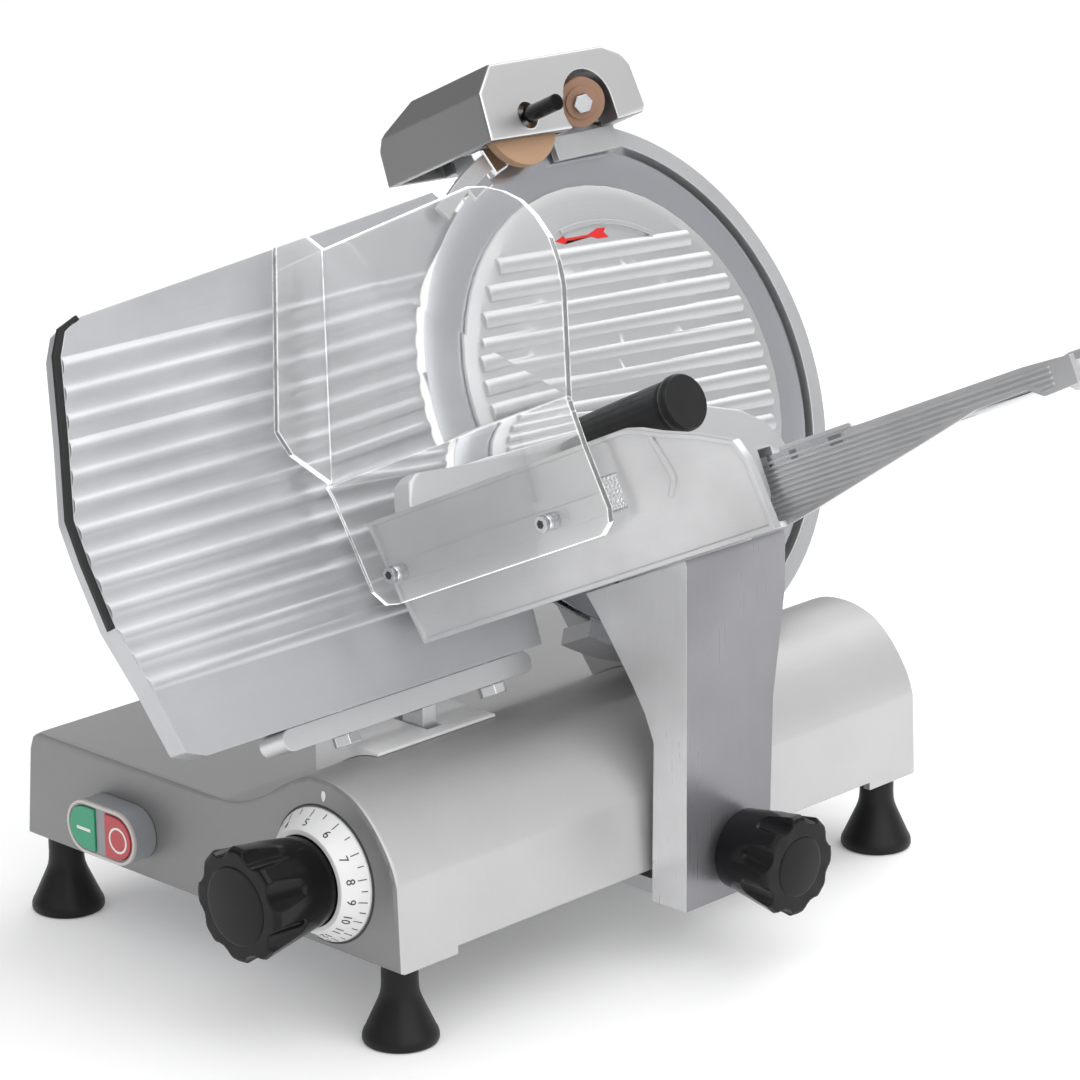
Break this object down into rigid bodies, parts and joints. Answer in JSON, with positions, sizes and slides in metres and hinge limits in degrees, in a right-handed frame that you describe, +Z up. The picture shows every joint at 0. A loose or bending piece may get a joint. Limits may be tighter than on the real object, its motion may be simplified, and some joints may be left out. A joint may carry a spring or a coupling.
{
  "type": "gravity feed meat slicer",
  "caption": "Countertop slicer: leaned round blade in a ring guard, gauge plate set by a dial, sliding tray with pusher and clear guard, sharpener on top.",
  "frame": {"origin": "centre of the bounding box at the height of the feet's underside", "axes": "+X to the operator's right, +Y away from the operator along the carriage travel, +Z up"},
  "size_m": [0.4584, 0.4882, 0.4141],
  "materials": {
    "anodised_aluminium": "satin anodised",
    "cast_aluminium": "fine cast, tumbled",
    "steel": "ground",
    "blade_steel": "turned and polished",
    "chromed_steel": "polished",
    "bronze": "turned",
    "black_plastic": "moulded, semi-gloss",
    "black_rubber": "moulded, matt",
    "clear_acrylic": "clear sheet with polished edges",
    "white_plastic": "moulded",
    "green_plastic": "moulded",
    "red_plastic": "moulded",
    "grinding_stone": "bonded grit",
    "honing_stone": "bonded fine grit",
    "motor_casing": "painted steel can"
  },
  "bodies": {
    "base": {"base_casting": "anodised_aluminium", "bottom_plate": "steel", "foot_left_front": "black_rubber", "foot_left_rear": "black_rubber", "foot_right_front": "black_rubber", "foot_right_rear": "black_rubber", "rail_main": "steel", "rail_guide": "steel", "gauge_rod_1": "steel", "gauge_rod_2": "steel", "post_collar": "white_plastic", "switch_surround": "white_plastic", "motor": "motor_casing", "drive_belt": "black_rubber", "blade_head": "anodised_aluminium", "bearing_rear": "chromed_steel", "bearing_front": "chromed_steel", "blade_cover": "cast_aluminium", "slice_deflector": "steel", "tie_bolt": "steel"},
    "cover_knob": {"tie_knob": "black_plastic"},
    "blade": {"blade": "blade_steel", "blade_shaft": "steel", "blade_pulley": "cast_aluminium"},
    "motor_rotor": {"motor_pulley": "steel", "motor_spindle": "steel"},
    "gauge": {"gauge_plate": "anodised_aluminium", "gauge_edge_trim": "black_plastic", "gauge_bar": "cast_aluminium", "gauge_bolt_1": "chromed_steel", "gauge_bolt_2": "chromed_steel", "gauge_carrier": "cast_aluminium"},
    "dial": {"dial_ring": "white_plastic", "dial_knob": "black_plastic", "dial_shaft": "steel", "scroll_cam": "cast_aluminium"},
    "on_button": {"button_on": "green_plastic"},
    "off_button": {"button_off": "red_plastic"},
    "carriage": {"slide_block": "cast_aluminium", "tilt_pin": "steel"},
    "tray_arm": {"carriage_column": "anodised_aluminium", "tray": "anodised_aluminium", "pusher_rod": "chromed_steel", "rod_screw": "chromed_steel", "guard": "clear_acrylic", "guard_screw_1": "chromed_steel", "guard_screw_2": "chromed_steel"},
    "lock": {"lock_knob": "black_plastic", "lock_stud": "steel"},
    "bush": {"pusher_bush": "bronze"},
    "pusher": {"pusher_arm": "cast_aluminium", "pusher_handle": "black_plastic"},
    "sharpener": {"sharpener_body": "anodised_aluminium", "spindle_honing": "chromed_steel"},
    "grinding_wheel": {"stone_grinding": "grinding_stone"},
    "honing_wheel": {"stone_honing": "honing_stone"},
    "sharpener_pin": {"sharpener_button": "black_plastic", "spindle_grinding": "chromed_steel"}
  },
  "joints": [
    {"name": "blade_spin", "type": "hinge", "parent": "base", "child": "blade", "pos_m": [-0.04942, 0.10746, 0.2525], "axis": [0.9063, 0, 0.4226], "continuous": true},
    {"name": "motor_spin", "type": "hinge", "parent": "base", "child": "motor_rotor", "pos_m": [-0.00898, 0.10746, 0.09481], "axis": [0.9063, 0, 0.4226], "continuous": true},
    {"name": "cover_knob_turn", "type": "hinge", "parent": "base", "child": "cover_knob", "pos_m": [-0.13098, 0.10746, 0.21446], "axis": [0.9063, 0, 0.4226], "range_deg": [-180, 180]},
    {"name": "gauge_slide", "type": "slide", "parent": "base", "child": "gauge", "axis": [-0.9063, 0, -0.4226], "range_m": [-0.003, 0.01]},
    {"name": "dial_turn", "type": "hinge", "parent": "base", "child": "dial", "pos_m": [-0.00492, -0.14334, 0.077], "axis": [0, 1, 0], "range_deg": [-66.3, 220.5]},
    {"name": "on_button_press", "type": "slide", "parent": "base", "child": "on_button", "axis": [0, 1, 0], "range_m": [0, 0.003], "stiffness_N_per_m": 400},
    {"name": "off_button_press", "type": "slide", "parent": "base", "child": "off_button", "axis": [0, 1, 0], "range_m": [0, 0.003], "stiffness_N_per_m": 400},
    {"name": "carriage_travel", "type": "slide", "parent": "base", "child": "carriage", "axis": [0, 1, 0], "range_m": [-0.13, 0.1]},
    {"name": "tray_tilt", "type": "hinge", "parent": "carriage", "child": "tray_arm", "pos_m": [0.05858, 0.05766, 0.0334], "axis": [0, 1, 0], "range_deg": [0, 30]},
    {"name": "lock_knob_turn", "type": "hinge", "parent": "tray_arm", "child": "lock", "pos_m": [0.07089, 0.05566, 0.055], "axis": [1, 0, 0], "range_deg": [-90, 90]},
    {"name": "pusher_travel", "type": "slide", "parent": "tray_arm", "child": "bush", "axis": [0.9063, 0, 0.4226], "range_m": [0, 0.13]},
    {"name": "pusher_swing", "type": "hinge", "parent": "bush", "child": "pusher", "pos_m": [0.02295, 0.17566, 0.21563], "axis": [-0.9063, 0, -0.4226], "range_deg": [0, 40]},
    {"name": "sharpener_lift", "type": "slide", "parent": "base", "child": "sharpener", "axis": [-0.4226, 0, 0.9063], "range_m": [0, 0.026]},
    {"name": "sharpener_pin_press", "type": "slide", "parent": "sharpener", "child": "sharpener_pin", "axis": [-0.9063, 0, -0.4226], "range_m": [0, 0.0018], "stiffness_N_per_m": 300},
    {"name": "grinding_wheel_spin", "type": "hinge", "parent": "sharpener_pin", "child": "grinding_wheel", "pos_m": [-0.09994, 0.08346, 0.38452], "axis": [0.9063, 0, 0.4226], "continuous": true},
    {"name": "honing_wheel_spin", "type": "hinge", "parent": "sharpener", "child": "honing_wheel", "pos_m": [-0.09828, 0.12746, 0.38805], "axis": [0.8821, -0.4698, 0.034], "continuous": true}
  ],
  "couplings": [
    {"joint": "motor_spin", "follows": "blade_spin", "ratio": 4.2},
    {"joint": "dial_turn", "follows": "gauge_slide", "rad_per_m": 384.06}
  ]
}
